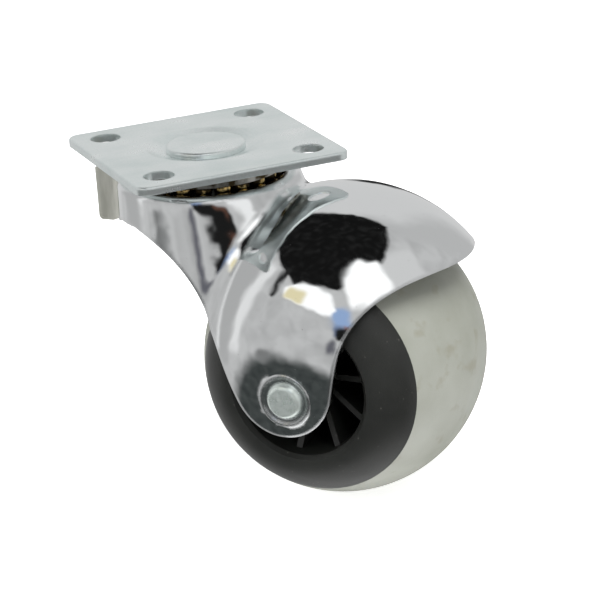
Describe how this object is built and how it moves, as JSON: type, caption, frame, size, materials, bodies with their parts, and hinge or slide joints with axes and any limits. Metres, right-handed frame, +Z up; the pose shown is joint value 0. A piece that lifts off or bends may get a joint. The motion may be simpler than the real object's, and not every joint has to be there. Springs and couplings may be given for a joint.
{
  "type": "castor",
  "caption": "Swivel castor with a square top plate, a chromed hood-shaped fork and a ball-shaped wheel with a grey rubber tread.",
  "frame": {"origin": "centre of the four fixing holes in the plate's top face", "axes": "+Z up out of the plate's top face, along the swivel axis; X and Y along the plate's sides"},
  "size_m": [0.0621, 0.0641, 0.0622],
  "materials": {
    "plate_zinc": "satin zinc plating",
    "race_zinc": "zinc plating, greasy",
    "ball_steel": "polished, under amber grease",
    "fork_chrome": "mirror chrome plating",
    "rivet_zinc": "bright zinc plating",
    "tread_rubber": "matt, lightly smudged",
    "hub_plastic": "fine satin moulding"
  },
  "bodies": {
    "plate": {"top_plate": "plate_zinc", "kingpin": "plate_zinc", "upper_race": "race_zinc", "lower_race": "race_zinc", "upper_ball_01": "ball_steel", "upper_ball_02": "ball_steel", "upper_ball_03": "ball_steel", "upper_ball_04": "ball_steel", "upper_ball_05": "ball_steel", "upper_ball_06": "ball_steel", "upper_ball_07": "ball_steel", "upper_ball_08": "ball_steel", "upper_ball_09": "ball_steel", "upper_ball_10": "ball_steel", "upper_ball_11": "ball_steel", "upper_ball_12": "ball_steel", "upper_ball_13": "ball_steel", "upper_ball_14": "ball_steel", "upper_ball_15": "ball_steel", "upper_ball_16": "ball_steel", "upper_ball_17": "ball_steel", "upper_ball_18": "ball_steel", "upper_ball_19": "ball_steel", "upper_ball_20": "ball_steel", "upper_ball_21": "ball_steel", "upper_ball_22": "ball_steel", "lower_ball_01": "ball_steel", "lower_ball_02": "ball_steel", "lower_ball_03": "ball_steel", "lower_ball_04": "ball_steel", "lower_ball_05": "ball_steel", "lower_ball_06": "ball_steel", "lower_ball_07": "ball_steel", "lower_ball_08": "ball_steel", "lower_ball_09": "ball_steel", "lower_ball_10": "ball_steel", "lower_ball_11": "ball_steel", "lower_ball_12": "ball_steel", "lower_ball_13": "ball_steel"},
    "fork": {"fork": "fork_chrome", "axle_rivet": "rivet_zinc"},
    "wheel": {"wheel_hub": "hub_plastic", "tyre": "tread_rubber"}
  },
  "joints": [
    {"name": "swivel", "type": "hinge", "parent": "plate", "child": "fork", "pos_m": [0, 0, 0], "axis": [0, 0, 1], "continuous": true},
    {"name": "wheel_turn", "type": "hinge", "parent": "fork", "child": "wheel", "pos_m": [0.01673, -0.01858, -0.037], "axis": [0.7431, 0.6691, 0], "continuous": true}
  ]
}
